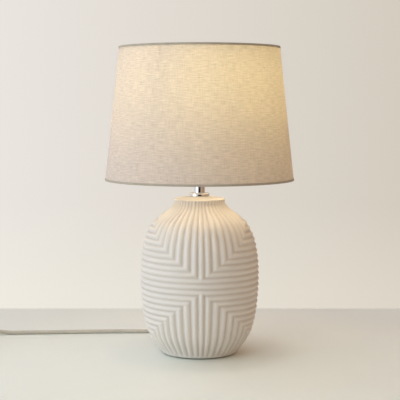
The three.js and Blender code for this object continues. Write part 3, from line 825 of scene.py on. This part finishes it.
def fitter():
    """Ring wires, and the carrier ring with its three arms up to the top ring."""
    ring_wire("ring_low", "bottom_ring")
    ring_wire("ring_high", "top_ring")
    floor, top, radius = low("carrier_ring")[2], high("carrier_ring")[2], high("carrier_ring")[0]
    bore = 20.4
    flat = [(bore + 0.2, floor), (radius - 0.5, floor), (radius, floor + 0.5), (radius, top - 0.5),
            (radius - 0.5, top), (bore + 0.2, top), (bore, top - 0.2), (bore, floor + 0.2)]
    stand_for(crisp(turned("carrier", flat, 160, loop=True), 50), "shade", "white_wire", "carrier_ring")
    reach, ring_z = high("top_ring")[0] - WIRE_R, middle("top_ring")[2]
    start, mid = radius + 0.3 + WIRE_R, (floor + top) / 2
    end, arm_top = reach - 0.15, ring_z - WIRE_R + 0.3
    line = smooth_path([(start - 3.6, 0, mid + 0.9), (start, 0, mid + 0.5), (start + 5, 0, mid + 3.2),
                        ((start + end) / 2, 0, (mid + arm_top) / 2 - 8), (end - 9, 0, arm_top - 29),
                        (end - 1, 0, arm_top - 17), (end + 0.2, 0, arm_top - 8), (end, 0, arm_top)], 1.5)
    along = np.linalg.norm(line - line[0], axis=1)
    welds = 0.45 * np.exp(-((along / 3) ** 2)) + 0.4 * np.exp(-(((along - along[-1]) / 3) ** 2))
    for k in range(ARMS):
        arm = swept(f"arm_{k + 1}", line, WIRE_R - 0.05 + welds, 12)
        placed(arm, (0, 0, 0), (0, 0, FIRST_ARM + 360 / ARMS * k))
        stand_for(arm, "shade", "white_wire", f"carrier_arm_{k + 1}")


# ---- in-line switch and plug -----------------
SWITCH_PIVOT_Z = 10.6
SWITCH_TILT = 8  # degrees of the rocker at rest
SWITCH_LEAD_Z = 6.5  # height of the lead through the switch
PIN_LENGTH, PIN_GAP, GRIP_LENGTH = 19, 0.3, 36


def inline_switch():
    """Two-part housing with a window for the rocker, a parting line and round ends."""
    x, y, _ = middle("switch_base")
    floor, split = low("switch_base")[2], high("switch_base")[2]
    lid, top = low("switch_cover")[2], high("switch_cover")[2]
    plan = rounded(*(high("switch_base") - low("switch_base"))[:2], 11, 10)
    base = slab("switch_lower", plan, fillet(floor, split, 2.6, 0.35))
    cover = slab("switch_upper", plan, fillet(lid, top, 0.35, 3.4, 7))
    bore = [swept("bore", np.array([(-40, 0, 0), (40, 0, 0)]), LEAD_R + 0.15, 24) for _ in range(2)]
    for tool in bore:
        placed(tool, (0, 0, SWITCH_LEAD_Z))
    window = placed(slab("window", rounded(17, 11.4, 1.2, 4), [(0, 0), (0, 20)]), (0, 0, 9))
    well = slab("well", rounded(19.5, 13.8, 2.4, 5), [(1.2, 0), (0, 0.8), (-1, 5)])
    placed(well, (0, 0, top - 0.9))
    grooves = [placed(slab("groove", rounded(1.1, 18 - 2 * abs(k - 3.5), 0.4, 3), [(0, 0), (0, 4)]),
                      (side * (15.5 + 1.9 * k), 0, top - 0.45)) for side in (-1, 1) for k in range(3)]
    cover = cut(cover, bore[0], well, window, *grooves)
    base = cut(base, bore[1])
    for made, node_name in ((base, "switch_base"), (cover, "switch_cover")):
        stand_for(crisp(placed(made, (x, y, 0)), 38), "lamp", "fittings", node_name)

    half, width = 7.7, 10.4
    bow = [(half * (1 - k / 6), 4.2 + 1.2 * (1 - k / 6) ** 2) for k in range(1, 12)]
    side_view = [(half - 0.5, 5.35), *bow, (-half + 0.5, 5.35), (-half, 4.9), (-half, 0),
                 (-half * 0.6, -3.2), (half * 0.6, -3.2), (half, 0), (half, 4.9)]
    key = slab("switch_key", np.array(side_view), [(0.5, -width / 2), (0.12, -width / 2 + 0.12),
                                                  (0, -width / 2 + 0.5), (0, width / 2 - 0.5),
                                                  (0.12, width / 2 - 0.12), (0.5, width / 2)])
    placed(placed(key, (0, 0, 0), (90, 0, 0)), (x, y, SWITCH_PIVOT_Z), (0, SWITCH_TILT, 0))
    stand_for(crisp(key, 40), "rocker", "rocker", "switch_rocker")


def plug():
    """Flat two-pin plug: waisted grip, ringed sleeve round the lead, and round pins in half sleeves."""
    x, y, z = high("plug_pin_1")[0] - PIN_LENGTH - PIN_GAP - GRIP_LENGTH, *middle("plug_body")[1:]
    thick = (high("plug_body") - low("plug_body"))[2] - 0.1
    side = smooth_path([(0.2, 0, 0), (0.5, -2.5, 0), (1.9, -5, 0), (5, -7, 0), (11, -8.6, 0), (17, -11.8, 0),
                        (23, -15.8, 0), (27.5, -17.3, 0), (31, -17, 0), (34.3, -14.8, 0), (35.8, -11, 0),
                        (36, -6, 0), (36, 0, 0)], 1.1)[:, :2]
    outline = np.concatenate([side, (side * [1, -1])[-2:0:-1]])
    grip = slab("grip", outline, fillet(-thick / 2, thick / 2, 3.4, 3.4, 7))
    profile = [(3.3, -12), (3.9, -12), (4.2, -11.7)]
    for k in range(4):
        wide = 4.5 + 0.35 * k
        profile += [(wide, -11 + 2.8 * k), (wide, -9.6 + 2.8 * k), (wide - 0.6, -9.3 + 2.8 * k),
                    (wide - 0.6, -8.5 + 2.8 * k)]
    profile += [(5.9, 0.2), (5.9, 4.2), (5.3, 5), (3.3, 5)]
    sleeve = placed(turned("sleeve", profile, 40, loop=True), (0, 0, 0), (0, 90, 0))
    body = placed(joined("plug_grip", [grip, sleeve]), (x, y, z))
    stand_for(crisp(body, 38), "lamp", "fittings", "plug_body")
    for k in (1, 2):
        start, end = low(f"plug_pin_{k}"), high(f"plug_pin_{k}")
        long = end[0] - start[0]
        pin = [(0.2, 0), (1.9, 0), (1.9, long - 1.6), (1.6, long - 0.7), (1.0, long - 0.15), (0.2, long)]
        guard = [(1.92, 0.1), (2.0, 0.1), (2.0, 9.6), (1.98, 9.9), (1.92, 10)]
        at = (start[0], middle(f"plug_pin_{k}")[1], z)
        for name, profile, slot, nodes in ((f"pin_{k}", pin, "nickel", [f"plug_pin_{k}"]),
                                           (f"pin_guard_{k}", guard, "black_plastic", [])):
            made = placed(turned(name, profile, 40, loop=True), at, (0, 90, 0))
            stand_for(crisp(made, 40), "lamp", slot, *nodes)


# ---- table, room and lights ------------------
TABLE_BACK, TABLE_FRONT, TABLE_HALF, TABLE_THICK = 373.0, -1400.0, 1600.0, 30.0
# the wall that the camera sees, and its lowest strip: painted light, lighter on the left and near the table
WALL_LEFT, WALL_RIGHT = srgb(234, 229, 223), srgb(212, 204, 191)
WALL_LEFT_LOW, WALL_RIGHT_LOW = srgb(239, 235, 225), srgb(221, 213, 199)
# share of the way from left to right, and the light from there
ROOM_LIGHT = ((0.0, (0.79, 0.76, 0.76)), (1.0, (0.40, 0.25, 0.15)), (0.36, (0.80, 0.75, 0.735)),
              (0.52, (0.49, 0.40, 0.34)), (0.70, (0.37, 0.265, 0.195)), (0.86, (0.56, 0.405, 0.29)))
ROOM_STRENGTH, ROOM_ABOVE = 0.94, 0.28
DARK_GAP = (0.33, 0.37)  # slopes across over forwards, at which the gap's edge starts and ends


def table():
    plan = rounded(2 * TABLE_HALF, TABLE_BACK - TABLE_FRONT, 12, 6) + [0, (TABLE_BACK + TABLE_FRONT) / 2]
    top = slab("table_top", plan, fillet(-TABLE_THICK, 0, 2, 2))
    made, tree, shader = new_material("table", rough=0.55)
    cloud = noise(tree, places(tree), 3, 3)
    feed(tree, shader, ramp(tree, cloud, srgb(242, 247, 241), srgb(238, 243, 236), 0.3, 0.7))
    bumped(tree, shader, (noise(tree, places(tree), 700, 2), 0.03))
    top.data.materials.append(made)
    crisp(top)


def room():
    """A pale wall that the camera sees, with painted light: lighter on the left and near the table. The rest
    is light from all round, most of it from left and above.
    """
    made = bpy.data.worlds.new("room")
    bpy.context.scene.world = made
    made.use_nodes = True
    tree = made.node_tree
    tree.nodes.clear()
    towards = node(tree, "SeparateXYZ", {"Vector": node(tree, "TexCoord").outputs["Generated"]})
    across = node(tree, "MapRange", {"Value": towards.outputs["X"], "From Min": -0.18, "From Max": 0.18})
    up = node(tree, "MapRange", {"Value": towards.outputs["Z"], "From Min": -0.09, "From Max": -0.17})
    # painted light on the wall: lighter to the left and in the strip near the table
    flat = ramp(tree, across.outputs[0], WALL_LEFT, WALL_RIGHT)
    lower = ramp(tree, across.outputs[0], WALL_LEFT_LOW, WALL_RIGHT_LOW)
    wall_colour = node(tree, "MixRGB", {0: up.outputs[0], 1: flat, 2: lower})
    wall_look = node(tree, "Background", {"Color": wall_colour.outputs[0]})
    side = node(tree, "MapRange", {"Value": towards.outputs["X"], "From Min": -1.0, "From Max": 1.0})
    sides = node(tree, "ValToRGB", {"Fac": side.outputs[0]})
    for k, (place, colour) in enumerate(ROOM_LIGHT):
        stop = sides.color_ramp.elements[k] if k < 2 else sides.color_ramp.elements.new(place)
        stop.position, stop.color = place, (*colour, 1)
    above = maths(tree, "MULTIPLY_ADD", towards.outputs["Z"], ROOM_ABOVE, ROOM_STRENGTH)
    # the dark gap in front of the lamp, which polished metal shows as a stripe
    beside = maths(tree, "DIVIDE", maths(tree, "ABSOLUTE", towards.outputs["X"]), maths(
        tree, "MAXIMUM", maths(tree, "MULTIPLY", towards.outputs["Y"], -1.0), 0.01))
    near, far = DARK_GAP
    gap = node(tree, "MapRange", {"Value": beside, "From Min": near, "From Max": far, "To Min": 0.03})
    above = maths(tree, "MULTIPLY", above, gap.outputs[0])
    light = node(tree, "Background", {"Color": sides.outputs[0], "Strength": above})
    seen = node(tree, "LightPath").outputs["Is Camera Ray"]
    mix = node(tree, "MixShader", {0: seen, 1: light.outputs[0], 2: wall_look.outputs[0]})
    node(tree, "OutputWorld", {"Surface": mix.outputs[0]})


def softbox(name, at, size, power, colour, aim=(0, 0, 190)):
    data = bpy.data.lights.new(name, "AREA")
    data.shape = "RECTANGLE"
    data.size, data.size_y = size[0] * MM, size[1] * MM
    data.energy, data.color = power, colour
    made = bpy.data.objects.new(name, data)
    made.location = Vector(at) * MM
    made.rotation_euler = (Vector(aim) - Vector(at)).to_track_quat("-Z", "Y").to_euler()
    bpy.context.scene.collection.objects.link(made)


# ---- the scene -------------------------------
camera()
mains_lead, lead_path = free_lead()
coil_tie()
ceramic_base()
cord_relief()
neck()
lampholder()
bulb()
shade_sheets()
fitter()
inline_switch()
plug()
finish_cad_nodes()

table()
room()
softbox("window", (-1500, -800, 420), (1200, 1300), 9.9, (0.634, 0.838, 1.0))
softbox("ceiling", (-300, 0, 2200), (1800, 1800), 5.9, (0.725, 0.80, 1.0))
softbox("front", (-500, -1600, 1400), (1200, 1200), 6.8, (0.90, 1.0, 0.96))
bpy.context.scene.view_settings.view_transform = "Standard"
